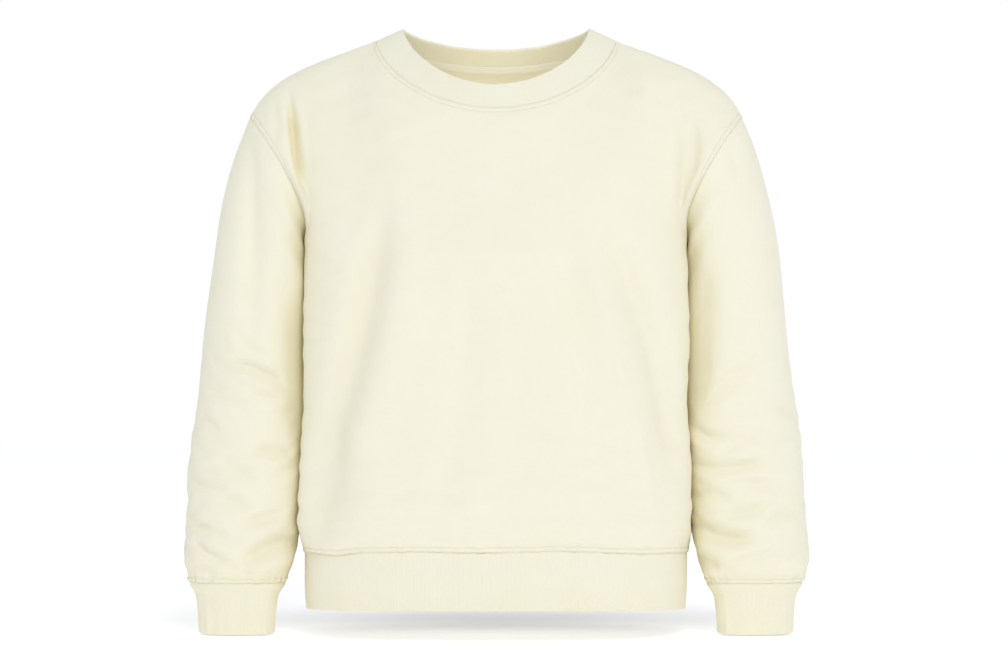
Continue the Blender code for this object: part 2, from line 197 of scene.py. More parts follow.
LEFT_SLEEVE_FRONT = [
    (-266, -110, -267, -335, 3, 11, 5, 0),
    (-282, -322, -248, -349, -3, 6, 2.6, 0.5),
    (-312, -346, -272, -358, -5, 5, 2, 0.6),
    (-280, -353, -230, -378, 3, 5.8, 5.2, 0.6),
    (-268, -388, -232, -396, 2, 5, 2.2, 0.5),
    (-318, -380, -274, -395, -4, 6, 2.6, 0.5),
    (-326, -414, -302, -426, 2, 5.5, 2.6, 0.5),
    (-262, -450, -220, -455, 3, 5.5, 4.2, 0.5),
    (-300, -457, -258, -479, -3, 7, 3, 0.6),
    (-333, -481, -292, -490, -4, 5.5, 3.2, 0.6),
    (-312, -498, -268, -512, 4, 6, 3, 0.6),
    (-274, -524, -230, -514, -4, 6, 3.6, 0.6),
    (-332, -531, -292, -544, 3, 5.5, 3.2, 0.5),
    (-328, -546, -290, -571, -4, 6, 3.4, 0.6),
    (-322, -577, -304, -586, 2, 4.5, 1.8, 0.4),
    (-292, -578, -264, -584, 2, 4.5, 2.2, 0.4),
    (-272, -569, -216, -549, 5, 9, 8.5, 0.5),
    (-216, -290, -214, -440, -2, 13, 5, 0),
]
RIGHT_SLEEVE_FRONT = [
    (242, -110, 262, -155, 4, 7, 1.6, 0.4),
    (215, -235, 217, -400, 6, 16, 6.5, 0),
    (242, -368, 278, -353, -4, 6, 2.6, 0.5),
    (234, -392, 270, -380, 3, 5.5, 2.4, 0.5),
    (214, -425, 252, -437, -3, 6, 4.8, 0.6),
    (244, -448, 286, -436, 4, 6, 2.8, 0.5),
    (214, -465, 290, -461, -5, 6, 4.4, 0.6),
    (254, -482, 306, -493, 4, 6, 2.8, 0.5),
    (216, -498, 254, -503, 3, 6, 3, 0.5),
    (244, -519, 296, -505, -4, 6.5, 3.6, 0.6),
    (218, -532, 276, -544, -5, 8, 7.8, 0.6),
    (290, -532, 326, -513, 3, 5.5, 3.2, 0.5),
    (254, -568, 302, -557, -3, 5.5, 3.2, 0.5),
    (216, -565, 240, -579, 3, 6, 3.4, 0.5),
    (306, -570, 330, -556, 3, 5, 2.6, 0.5),
    (306, -400, 330, -414, 2, 6, 2, 0.4),
]
LEFT_SLEEVE_BACK = [
    (-262, -140, -272, -300, 6, 13, 2.6, 0),
    (-312, -352, -262, -372, 4, 7, 3.2, 0.5),
    (-272, -398, -226, -390, 3, 6, 3, 0.5),
    (-324, -430, -276, -442, -4, 6.5, 3, 0.6),
    (-286, -474, -232, -466, 4, 6.5, 3.2, 0.5),
    (-332, -500, -282, -513, 4, 6, 3.4, 0.6),
    (-296, -542, -236, -530, -4, 7, 4.2, 0.6),
    (-328, -560, -288, -575, 3, 5.5, 3, 0.5),
    (-270, -576, -234, -568, 3, 5.5, 3, 0.5),
]
RIGHT_SLEEVE_BACK = [
    (264, -150, 268, -310, -6, 13, 2.4, 0),
    (232, -368, 290, -356, -4, 7, 3.2, 0.5),
    (262, -404, 316, -418, 4, 6, 2.8, 0.5),
    (222, -440, 272, -452, -3, 6.5, 3, 0.6),
    (270, -488, 326, -476, 4, 6.5, 3.2, 0.5),
    (226, -512, 284, -524, 4, 6.5, 3.6, 0.6),
    (284, -552, 330, -538, -4, 6, 3.4, 0.6),
    (232, -560, 280, -576, 3, 6, 3.6, 0.5),
]
PANEL_FOLDS = {-1: FRONT_FOLDS, 1: BACK_FOLDS}
SLEEVE_FOLDS = {
    (-1, -1): LEFT_SLEEVE_FRONT, (-1, 1): LEFT_SLEEVE_BACK,
    (1, -1): RIGHT_SLEEVE_FRONT, (1, 1): RIGHT_SLEEVE_BACK,
}


# ------ curves
def smooth(t):
    """0 to 1 with level ends."""
    t = np.clip(t, 0, 1)
    return t * t * (3 - 2 * t)


def bump(t):
    """1 at 0, falling softly to 0 on both sides."""
    return np.exp(-(t**2))


def bezier(a, b, c, d, t):
    return a * (1 - t) ** 3 + 3 * b * t * (1 - t) ** 2 + 3 * c * t * t * (1 - t) + d * t**3


def bezier_points(controls, t):
    return bezier(*controls, np.asarray(t)[..., None])


def read(rows, column, height):
    """A table's column as a smooth curve over its heights."""
    x, y = rows["height"], rows[column]
    if x[0] > x[-1]:
        x, y = x[::-1], y[::-1]
    slopes = np.gradient(y, x)
    height = np.clip(height, x[0], x[-1])
    i = np.clip(np.searchsorted(x, height) - 1, 0, len(x) - 2)
    step = x[i + 1] - x[i]
    t = (height - x[i]) / step
    rise = y[i] + step * slopes[i] / 3, y[i + 1] - step * slopes[i + 1] / 3
    return bezier(y[i], *rise, y[i + 1], t)


def points(x, y, z):
    return np.stack(np.broadcast_arrays(x, y, z), axis=-1)


def unit(vectors):
    return vectors / np.maximum(np.linalg.norm(vectors, axis=-1, keepdims=True), 1e-12)


def stops(*pairs):
    """Values from stop to stop: each pair is a value and the steps from it to the next one."""
    runs = [np.linspace(a, b, n + 1)[:-1] for (a, n), (b, _) in zip(pairs, pairs[1:])]
    return np.concatenate([*runs, [pairs[-1][0]]])


def ripples(u, v, seed, wave_u, wave_v, count=22):
    """Smooth unevenness of about unit size with the given wavelengths along u and v."""
    draw = np.random.default_rng(seed)
    total = np.zeros(np.broadcast(u, v).shape)
    for _ in range(count):
        angle, phase = draw.uniform(0, 2 * math.pi, 2)
        longer = draw.uniform(0.75, 1.5)
        waves = u * math.cos(angle) / wave_u + v * math.sin(angle) / wave_v
        total += np.sin(2 * math.pi * waves / longer + phase)
    return total / math.sqrt(count / 2)


# ------ the CAD model's surfaces
def body_section(rows, facing, across, height):
    """Level sections of the body or hem: across is 0 at the middle and 1 at the side seam."""
    wide = read(rows, "half_width", height)
    deep = facing * read(rows, "front" if facing < 0 else "back", height)
    x = bezier(0, CORNER_X * wide, wide, wide, across)
    y = bezier(deep, deep, SIDE_SEAM_Y + CORNER_Y * (deep - SIDE_SEAM_Y), SIDE_SEAM_Y, across)
    return points(x, y, height)


def neck_ring(part, facing, turn):
    """The neckband's seam or its free edge: turn is 0 at the middle and 1 at the shoulder."""
    row = list(NECK["facing"]).index(facing)
    half, top = NECK_SIDE[part]
    depth, drop, bend = (NECK[part + word][row] for word in ("_depth", "_drop", "_bend"))
    angle = turn * math.pi / 2
    level = np.clip(np.cos(angle), 0, 1)
    return points(half * np.sin(angle), facing * depth * level, top - drop * level**bend)


def armhole(facing, t):
    """The sleeve's seam, from the underarm (0) to the shoulder's tip (1)."""
    return bezier_points([UNDERARM_POINT, *ARMHOLE_REACH[facing], SHOULDER_TIP], t)


def panel_top(facing, across):
    """The panel's upper edge, and the way its cloth runs up to it."""
    turn = np.clip(across / NECK_SHARE, 0, 1)
    along = np.clip((across - NECK_SHARE) / (1 - NECK_SHARE), 0, 1)
    at_neck = (across < NECK_SHARE)[..., None]
    seam, edge = neck_ring("seam", facing, turn), neck_ring("edge", facing, turn)
    over = points(0, -facing, 0)
    lean = (SEAM_LEAN * smooth(turn))[..., None]
    up_neck = unit(unit(edge - seam) * (1 - lean) + over * lean)
    shoulder = bezier_points(SHOULDER, along)
    slope = unit(shoulder - bezier_points(SHOULDER, along + 0.01))
    straight = (1 - SEAM_LEAN) * (1 - smooth(along * 1.5))
    up_shoulder = unit(over * SEAM_LEAN + slope * straight[..., None])
    top = np.where(at_neck, seam, shoulder)
    return top, np.where(at_neck, up_neck, up_shoulder)


def upper_patch(facing, across, up):
    """A panel above the underarm: up is 0 there and 1 at its upper edge."""
    low = body_section(BODY, facing, across, UNDERARM)
    top, way = panel_top(facing, across)
    turn = np.clip(across / NECK_SHARE, 0, 1)
    climb = (0.36 + 0.19 * smooth(turn))[..., None] * (top - low)[..., 2:]
    deep = np.abs(low[..., 1] - top[..., 1])
    high = top[..., 2] - low[..., 2]
    reach = (1 - smooth(turn)) * 0.34 * high + smooth(turn) * (0.50 * deep + 0.02)
    shaped = smooth((across - ARMHOLE_ZONE) / (1 - ARMHOLE_ZONE))[..., None]
    from_low = climb * np.array([0, 0, 1]) * (1 - shaped)
    from_low = from_low + (ARMHOLE_REACH[facing][0] - UNDERARM_POINT) * shaped
    from_top = way * -reach[..., None] * (1 - shaped)
    from_top = from_top + (ARMHOLE_REACH[facing][1] - SHOULDER_TIP) * shaped
    return bezier(low, low + from_low, top + from_top, top, up[..., None])


def arm_hollow(surface):
    """The body's sides pressed in a little by the sleeves that hang beside them."""
    x, y, z = np.moveaxis(surface, -1, 0)
    middle, half = (HOLLOW_TOP + HOLLOW_FOOT) / 2, (HOLLOW_TOP - HOLLOW_FOOT) / 2
    window = smooth((1 - np.abs(z - middle) / half) * 3)
    press = ARM_HOLLOW * window * bump((y - HOLLOW_Y) / HOLLOW_HALF)
    return points(x - np.where(np.abs(x) > NEAR_SLEEVE, np.sign(x) * press, 0), y, z)


def lifted(surface):
    """The body's front a little higher than its back towards the hem."""
    x, y, z = np.moveaxis(surface, -1, 0)
    ahead = np.clip((SIDE_SEAM_Y - y) / (SIDE_SEAM_Y + BODY["front"][0]), 0, 1)
    return points(x, y, z + HEM_LIFT * ahead * smooth((LIFT_TOP - z) / (LIFT_TOP - HEM_SEAM)))


def panel_surface(facing, side_across, level):
    """A panel: level is -1 at the hem seam, 0 at the underarm and 1 at its upper edge."""
    across, side = np.abs(side_across), np.where(side_across < 0, -1, 1)
    height = UNDERARM + (UNDERARM - HEM_SEAM) * np.minimum(level, 0)
    lower = body_section(BODY, facing, across, height)
    upper = upper_patch(facing, across, np.clip(level, 0, 1))
    surface = lifted(arm_hollow(np.where((level < 0)[..., None], lower, upper)))
    surface[..., 0] *= side
    return surface


def oval(rows, height, turn):
    """Level sections of a sleeve or cuff: turn 0 is outermost, 1/4 foremost, 1/2 innermost."""
    quarter = np.floor(turn * 4).astype(int) % 4
    t = turn * 4 - np.floor(turn * 4)
    corner = np.choose(quarter, SLEEVE_CORNERS)
    rise, fall = bezier(0, corner, 1, 1, t), bezier(1, 1, corner, 0, t)
    out = np.choose(quarter, [fall, -rise, -fall, rise])
    ahead = np.choose(quarter, [rise, fall, -rise, -fall])
    centre_x, centre_y = read(rows, "centre_x", height), read(rows, "centre_y", height)
    wide, deep = read(rows, "half_width", height), read(rows, "half_depth", height)
    return points(centre_x + wide * out, centre_y - deep * ahead, height)


def armhole_ring(turn):
    """The right sleeve's seam all round: turn is 0 at the shoulder's tip, 1/2 at the underarm."""
    front = armhole(-1, np.clip(1 - 2 * turn, 0, 1))
    back = armhole(1, np.clip(2 * turn - 1, 0, 1))
    return np.where((turn < 0.5)[..., None], front, back)


def sleeve_surface(turn, down):
    """The right sleeve: down runs from 0 at the armhole to 1 at the cuff seam."""
    first = SLEEVE["height"][0]
    head = np.clip(down / SLEEVE_HEAD, 0, 1)[..., None]
    tail = np.clip((down - SLEEVE_HEAD) / (1 - SLEEVE_HEAD), 0, 1)
    ring, level = armhole_ring(turn), oval(SLEEVE, first, turn)
    outer = (0.5 + 0.5 * np.cos(2 * math.pi * turn))[..., None]
    fall = np.linalg.norm(level - ring, axis=-1, keepdims=True)
    leave = unit(points(0.40, 0, -0.916) * outer + points(0.75, 0, -0.66) * (1 - outer))
    arrive = (oval(SLEEVE, first - 0.01, turn) - level) / 0.01
    reach = fall * SLEEVE_REACH
    upper = bezier(ring, ring + leave * reach, level - arrive * reach, level, head)
    lower = oval(SLEEVE, first + (CUFF_SEAM - first) * tail, turn)
    return np.where((down < SLEEVE_HEAD)[..., None], upper, lower)


def all_round(quarter, share_count):
    """Points round the body from a function of facing and share, which gives the right side's
    points from the centre line (0) to the side (1)."""
    share = np.linspace(0, 1, share_count + 1)[:-1]
    mirror = np.array([-1, 1, 1])
    parts = [
        quarter(-1, share),
        quarter(1, 1 - share),
        quarter(1, share) * mirror,
        quarter(-1, 1 - share) * mirror,
    ]
    return np.concatenate(parts, axis=-2)


# ------ work on grids of points
def steps(grid, axis, closed=False):
    """Central differences along an axis, going round where the grid is closed."""
    if closed:
        return (np.roll(grid, -1, axis) - np.roll(grid, 1, axis)) / 2
    return np.gradient(grid, axis=axis)


def normals_of(grid, closed=False):
    """Unit normals of a grid whose columns run to the right and rows up, seen from outside."""
    return unit(np.cross(steps(grid, 1, closed), steps(grid, 0)))


def distance(grid, axis, from_end=False):
    """How far each point lies along the cloth from the grid's first row or column, or its last."""
    length = np.linalg.norm(np.diff(grid, axis=axis), axis=-1)
    if from_end:
        length = np.flip(length, axis)
    total = np.cumsum(length, axis=axis)
    total = np.concatenate([np.zeros_like(np.take(total, [0], axis=axis)), total], axis=axis)
    return np.flip(total, axis) if from_end else total


def relaxed(grid, rounds, closed=False):
    """The grid smoothed along its normals without shrinking, its outer edges held."""
    grid = grid.copy()
    for step in (0.60, -0.62) * rounds:
        middle = grid.copy()
        middle[1:-1] = (grid[2:] + grid[:-2]) / 2
        if closed:
            across = (np.roll(grid, 1, 1) + np.roll(grid, -1, 1)) / 2
        else:
            across = grid.copy()
            across[:, 1:-1] = (grid[:, 2:] + grid[:, :-2]) / 2
        move = (middle + across) / 2 - grid
        normal = normals_of(grid, closed)
        move = normal * np.sum(move * normal, axis=-1, keepdims=True)
        move[0] = move[-1] = 0
        if not closed:
            move[:, 0] = move[:, -1] = 0
        grid += move * step
    return grid


def softened(grid, share, rounds):
    """The grid smoothed from left to right, by each point's share, to take out a crease."""
    grid = grid.copy()
    for _ in range(rounds):
        move = np.zeros_like(grid)
        move[:-1, 1:-1] = ((grid[:, 2:] + grid[:, :-2]) / 2 - grid[:, 1:-1])[:-1]
        normal = normals_of(grid)
        grid += normal * np.sum(move * normal, axis=-1, keepdims=True) * share[..., None]
    return grid


def swayed(surface):
    """The front with the hem's seam rising and falling a little, as it hangs."""
    x, y, z = np.moveaxis(surface, -1, 0)
    rise = sum(row_rise * bump((x - row_x) / row_half) for row_x, row_half, row_rise in HEM_SWAY)
    rise = rise * smooth(-y / SWAY_DEPTH) * bump((z - HEM_SEAM) / SWAY_HEIGHT)
    return points(x, y, z + rise)


def filled_side(surface):
    """The body's front corners a little fuller, so that they lie against the sleeves."""
    x, y, z = np.moveaxis(surface, -1, 0)
    fuller = np.where(x < 0, read(SIDE_FULLNESS, "left", z), read(SIDE_FULLNESS, "right", z))
    fuller = fuller * bump((y - FULLEST_Y) / FULLEST_HALF) * (np.abs(x) > NEAR_SLEEVE)
    return points(x + np.sign(x) * fuller, y, z)


def armhole_fill(facing, t, away):
    """How far the cloth stands out beside the sleeve's seam; t runs along it from the underarm."""
    fill = ARM_FILL * bump((t - FILL_AT) / FILL_HALF) * np.exp(-away / FILL_REACH)
    return points(0, facing * fill, 0)


def drawn_in(grid, closed):
    """The grid with its edges turned in at the seams, just under the neighbouring cloth."""
    for _ in range(2 if closed else 4):
        edge = grid[0]
        around = np.roll(edge, -1, 0) - np.roll(edge, 1, 0)
        run = unit(around if closed else np.gradient(edge, axis=0))
        way = grid[1] - edge
        way = unit(way - run * np.sum(way * run, axis=-1, keepdims=True))
        grid = grid.copy()
        grid[0] = edge - way * SEAM_TUCK - np.cross(run, way) * SEAM_DIP
        grid = np.rot90(grid, 2 if closed else 1)
    return grid


def mirrored(grid):
    """The right side's grid turned into the left side's."""
    return grid[:, ::-1] * np.array([-1, 1, 1])


FOLD_OVERRUN, FOLD_TAPER = 0.18, 0.45  # shares of a fold's length, at each end
LIP_AT, LIP_WIDTH = 1.9, 1.3  # in trough widths


def fold_height(folds, x, z):
    """How far the folds move each point out (up) or in (down)."""
    height = np.zeros(np.broadcast(x, z).shape)
    for *sizes, lip in folds:
        start_x, start_z, end_x, end_z, bow, width, depth = np.array(sizes) / 1000
        run_x, run_z = end_x - start_x, end_z - start_z
        length = np.hypot(run_x, run_z)
        along = ((x - start_x) * run_x + (z - start_z) * run_z) / length**2
        off = ((x - start_x) * run_z - (z - start_z) * run_x) / length
        off = off + bow * 4 * along * (1 - along)
        taper = smooth((along + FOLD_OVERRUN) / FOLD_TAPER)
        taper = taper * smooth((1 + FOLD_OVERRUN - along) / FOLD_TAPER)
        width = width * (0.75 + 0.25 * taper)
        beside = (off - np.sign(lip) * LIP_AT * width) / (LIP_WIDTH * width)
        height += depth * taper * (abs(lip) * bump(beside) - bump(off / width))
    return height


# ------ seams
RIDGE = 0.0004  # the turned allowance's height under the cloth beside a stitched seam
RIDGE_AT, RIDGE_HALF = 0.0032, 0.0017
STITCHED = 0.0003  # how far the second row of stitches pulls the cloth in
STITCHED_HALF = 0.0012
STITCH_LINES = (0.0014, 0.0063)
PUCKER = 0.00035
PUCKER_WAVE, PUCKER_REACH = 0.011, 0.012


def seam_relief(away, along, seed, ridge=RIDGE, stitched=STITCHED, pucker=PUCKER):
    """The relief beside a seam: the allowance's ridge, the stitched line and the puckers."""
    uneven = 1 + 0.22 * ripples(along, 0, seed, 0.030, 1)
    relief = ridge * uneven * bump((away - RIDGE_AT) / RIDGE_HALF)
    relief = relief - stitched * bump((away - STITCH_LINES[1]) / STITCHED_HALF)
    gather = ripples(along, away, seed + 1, PUCKER_WAVE, 0.060) * bump(away / PUCKER_REACH)
    return relief + pucker * gather * smooth(away / 0.002)


# ------ meshes
def face_grid(rows, columns, wrap_rows, wrap_columns):
    """Corner numbers of the quads of a grid, and the grid cell of each."""
    row, column = np.meshgrid(
        np.arange(rows if wrap_rows else rows - 1),
        np.arange(columns if wrap_columns else columns - 1),
        indexing="ij",
    )
    row, column = row.ravel(), column.ravel()
    above, right = (row + 1) % rows, (column + 1) % columns
    faces = np.stack(
        [row * columns + column, row * columns + right, above * columns + right,
         above * columns + column],
        axis=1,
    )
    return faces, row, column


def grid_object(name, grid, material, wrap_rows=False, wrap_columns=False, wall=0):
    """An object for a grid of points, with a UV map in metres along the cloth."""
    rows, columns = grid.shape[:2]
    faces, row, column = face_grid(rows, columns, wrap_rows, wrap_columns)
    mesh = bpy.data.meshes.new(name)
    mesh.vertices.add(rows * columns)
    mesh.vertices.foreach_set("co", grid.astype(np.float32).ravel())
    mesh.loops.add(faces.size)
    mesh.loops.foreach_set("vertex_index", faces.astype(np.int32).ravel())
    mesh.polygons.add(len(faces))
    mesh.polygons.foreach_set("loop_start", np.arange(0, faces.size, 4, dtype=np.int32))
    mesh.polygons.foreach_set("loop_total", np.full(len(faces), 4, dtype=np.int32))
    mesh.shade_smooth()

    wide = np.linalg.norm(np.roll(grid, -1, 1) - grid, axis=-1).mean(axis=0)
    tall = np.linalg.norm(np.roll(grid, -1, 0) - grid, axis=-1).mean(axis=1)
    u = np.concatenate([[0], np.cumsum(wide)])
    v = np.concatenate([[0], np.cumsum(tall)])
    uv = mesh.uv_layers.new(name="cloth")
    corner_u = np.stack([u[column], u[column + 1], u[column + 1], u[column]], axis=1)
    corner_v = np.stack([v[row], v[row], v[row + 1], v[row + 1]], axis=1)
    uv.data.foreach_set("uv", np.stack([corner_u, corner_v], axis=-1).astype(np.float32).ravel())
    mesh.update(calc_edges=True)
    mesh.validate()
    mesh.materials.append(material)
    piece = bpy.data.objects.new(name, mesh)
    bpy.context.scene.collection.objects.link(piece)
    if wall:
        thick = piece.modifiers.new("wall", "SOLIDIFY")
        thick.thickness = wall
        thick.offset = -1
        thick.use_rim = True
    return piece


def doubled_band(outer, ridges, outward):
    """A band folded double, as a closed ring of profiles: up its outer face from the seam to the
    fold, round it and down the inner face. outer has the seam as its first row, ridges the
    ribs' height and outward each point's normal."""
    edge_way = unit(outer[-1] - outer[-2])
    middle = outer - outward * RIB / 2
    half = (RIB / 2 + ridges)[..., None]
    bend = np.linspace(0, math.pi, 7)[1:-1, None, None]
    turned = outward[-1] * np.cos(bend) + edge_way * np.sin(bend)
    fold = middle[-1] + turned * half[-1]
    return np.concatenate([middle + outward * half, fold, (middle - outward * half)[::-1]])


# ------ stitches
STITCH_LENGTH, STITCH_PITCH = 0.0024, 0.0031
STITCH_WIDTH, STITCH_HEIGHT = 0.00032, 0.00022
CUFF_STITCH = 0.0050  # the one row above each cuff


def seam_line(grid, away, closed):
    """Points and normals on a grid at a distance from its first row, along the cloth."""
    reach = distance(grid, 0)
    normals = normals_of(grid, closed)
    place, facing = [], []
    for column in range(grid.shape[1]):
        at = [np.interp(away, reach[:, column], grid[:, column, i]) for i in range(3)]
        out = [np.interp(away, reach[:, column], normals[:, column, i]) for i in range(3)]
        place.append(at)
        facing.append(out)
    return np.array(place), unit(np.array(facing))


def even_stations(line, normals, closed):
    """Evenly spaced points along a line, with its directions and normals there."""
    if closed:
        line, normals = np.vstack([line, line[:1]]), np.vstack([normals, normals[:1]])
    run = np.concatenate([[0], np.cumsum(np.linalg.norm(np.diff(line, axis=0), axis=1))])
    count = int(run[-1] / STITCH_PITCH)
    at = (np.arange(count) + 0.5) * run[-1] / count

    def along(values, s):
        return np.stack([np.interp(s, run, values[:, i]) for i in range(3)], axis=1)

    half = STITCH_LENGTH / 2
    way = unit(along(line, at + half) - along(line, at - half))
    return along(line, at), way, unit(along(normals, at))


def stitches(name, lines, material):
    """One mesh of all the stitches along the given lines of (points, normals, closed)."""
    ring = np.arange(5) * 2 * math.pi / 5
    shape = [(-1.0, 0, 0)]
    shape += [(end * 0.62, math.cos(a), math.sin(a)) for end in (-1, 1) for a in ring]
    shape += [(1.0, 0, 0)]
    shape = np.array(shape) * (STITCH_LENGTH / 2, STITCH_WIDTH, STITCH_HEIGHT)
    faces = [(0, 1 + (i + 1) % 5, 1 + i) for i in range(5)]
    faces += [(1 + i, 1 + (i + 1) % 5, 6 + (i + 1) % 5, 6 + i) for i in range(5)]
    faces += [(11, 6 + i, 6 + (i + 1) % 5) for i in range(5)]
    vertices, polygons = [], []
    for line, normals, closed in lines:
        for at, way, out in zip(*even_stations(line, normals, closed)):
            side = np.cross(out, way)
            first = len(vertices) * len(shape)
            vertices.append(at + out * 0.0001 + shape @ np.array([way, side, out]))
            polygons += [tuple(first + corner for corner in face) for face in faces]
    mesh = bpy.data.meshes.new(name)
    mesh.from_pydata(np.concatenate(vertices).tolist(), [], polygons)
    mesh.shade_smooth()
    mesh.materials.append(material)
    piece = bpy.data.objects.new(name, mesh)
    bpy.context.scene.collection.objects.link(piece)
    return piece


# ------ materials
CLOTH_LIGHT = (0.897, 0.868, 0.722, 1)
CLOTH_DEEP = (0.874, 0.842, 0.678, 1)
RIB_LIGHT = (0.876, 0.851, 0.712, 1)
RIB_DEEP = (0.850, 0.822, 0.664, 1)
TAPE_LIGHT = (0.960, 0.940, 0.840, 1)
THREAD = (0.885, 0.855, 0.690, 1)
# painted shade: the deeper, yellower colour that the knits take in hollows and creases
PAINTED_CREVICE_SHADE = (0.85, 0.76, 0.46, 1)
SHEEN_TINT = (1.0, 0.985, 0.93, 1)


class Nodes:
    """A small hand for building one material's nodes."""

    def __init__(self, name):
        self.material = bpy.data.materials.new(name)
        self.material.use_nodes = True
        self.tree = self.material.node_tree
        self.shader = self.tree.nodes["Principled BSDF"]

    def add(self, kind, **inputs):
        node = self.tree.nodes.new(kind)
        for key, value in inputs.items():
            self.put(node.inputs[key.replace("_", " ")], value)
        return node

    def put(self, socket, value):
        if isinstance(value, bpy.types.NodeSocket):
            self.tree.links.new(value, socket)
        else:
            socket.default_value = value

    def math(self, operation, *values):
        node = self.tree.nodes.new("ShaderNodeMath")
        node.operation = operation
        for socket, value in zip(node.inputs, values):
            self.put(socket, value)
        return node.outputs[0]

    def noise(self, vector, scale, detail=2.0):
        node = self.add("ShaderNodeTexNoise", Vector=vector, Scale=scale, Detail=detail)
        return node.outputs["Fac"]

    def blend(self, share, first, second):
        node = self.tree.nodes.new("ShaderNodeMix")
        node.data_type = "RGBA"
        self.put(node.inputs["Factor"], share)
        self.put(node.inputs[6], first)
        self.put(node.inputs[7], second)
        return node.outputs[2]

    def bump(self, height, distance, normal=None):
        node = self.add("ShaderNodeBump", Height=height, Distance=distance, Strength=1.0)
        if normal is not None:
            self.put(node.inputs["Normal"], normal)
        return node.outputs["Normal"]

    def finish(self, colour, roughness, normal, sheen):
        self.put(self.shader.inputs["Base Color"], colour)
        self.put(self.shader.inputs["Roughness"], roughness)
        self.put(self.shader.inputs["Normal"], normal)
        self.put(self.shader.inputs["Specular IOR Level"], 0.25)
        self.put(self.shader.inputs["Sheen Weight"], sheen)
        self.put(self.shader.inputs["Sheen Roughness"], 0.45)
        self.put(self.shader.inputs["Sheen Tint"], SHEEN_TINT)
        return self.material


def knit(nodes, wale, course):
    """The V-shaped loops of plain knitting as a height from 0 to 1."""
    uv = nodes.tree.nodes.new("ShaderNodeUVMap")
    uv.uv_map = "cloth"
    split = nodes.add("ShaderNodeSeparateXYZ", Vector=uv.outputs["UV"])
    across = nodes.math("DIVIDE", split.outputs["X"], wale)
    fold = nodes.math("PINGPONG", across, 0.5)
    rise = nodes.math("ADD", nodes.math("DIVIDE", split.outputs["Y"], course), fold)
    loops = nodes.math("SINE", nodes.math("MULTIPLY", rise, 2 * math.pi))
    valley = nodes.math("SINE", nodes.math("MULTIPLY", across, 2 * math.pi))
    valley = nodes.math("MULTIPLY", valley, 0.2)
    mixed = nodes.math("ADD", nodes.math("MULTIPLY", loops, 0.3), valley)
    return nodes.math("ADD", mixed, 0.5)


def knit_material(name, light, deep, wale, course, relief, fuzz, sheen, shade):
    """Cotton knit: loops, fuzz over them, slow changes of colour, painted warm shade in hollows.
    """
    nodes = Nodes(name)
    loops = knit(nodes, wale, course)
    place = nodes.tree.nodes.new("ShaderNodeTexCoord").outputs["Object"]
    slow = nodes.noise(place, 22.0, 3.0)
    fine = nodes.noise(place, 420.0, 2.0)
    tone = nodes.math("MULTIPLY_ADD", slow, 0.9, nodes.math("MULTIPLY", fine, 0.5))
    tone = nodes.math("SUBTRACT", nodes.math("MULTIPLY_ADD", loops, 0.12, tone), 0.28)
    colour = nodes.blend(tone, deep, light)
    # painted shade: the less open space a point sees, the more of the crevice colour it takes, by
    # the share shade
    open_sky = nodes.add("ShaderNodeAmbientOcclusion", Distance=0.10)
    open_sky.samples = 4
    painted_shade_share = nodes.math("SUBTRACT", 1.0, open_sky.outputs["AO"])
    colour = nodes.blend(nodes.math("MULTIPLY", painted_shade_share, shade), colour, PAINTED_CREVICE_SHADE)
    rough = nodes.math("MULTIPLY_ADD", fine, 0.10, 0.86)
    coarse = nodes.bump(nodes.noise(place, 160.0, 3.0), fuzz)
    normal = nodes.bump(loops, relief, coarse)
    return nodes.finish(colour, rough, normal, sheen)


def plain_material(name, colour, roughness, pitch):
    """Thread or tape: a twill of the given pitch."""
    nodes = Nodes(name)
    place = nodes.tree.nodes.new("ShaderNodeTexCoord").outputs["Object"]
    split = nodes.add("ShaderNodeSeparateXYZ", Vector=place)
    slant = nodes.math("ADD", split.outputs["X"], split.outputs["Z"])
    slant = nodes.math("DIVIDE", slant, pitch)
    twill = nodes.math("SINE", nodes.math("MULTIPLY", slant, 2 * math.pi))
    normal = nodes.bump(twill, 0.00008)
    deep = tuple(value * 0.95 for value in colour[:3]) + (1,)
    tone = nodes.blend(nodes.noise(place, 500.0), deep, colour)
    return nodes.finish(tone, roughness, normal, 0.1)


# ------ the body's panels
PANEL_HALF = stops((0, 43), (NECK_SHARE, 46), (0.966, 9), (1, 0))
PANEL_COLUMNS = np.concatenate([-PANEL_HALF[:0:-1], PANEL_HALF])
PANEL_LEVELS = stops((-1, 9), (-0.969, 96), (0, 66), (0.95, 10), (1, 0))
UNDER_TUCK = 0.0020  # how far the panel swells beside the armhole's lower half
PINCH_Z, PINCH_TALL, PINCH_WIDE = -0.187, 0.034, 0.030


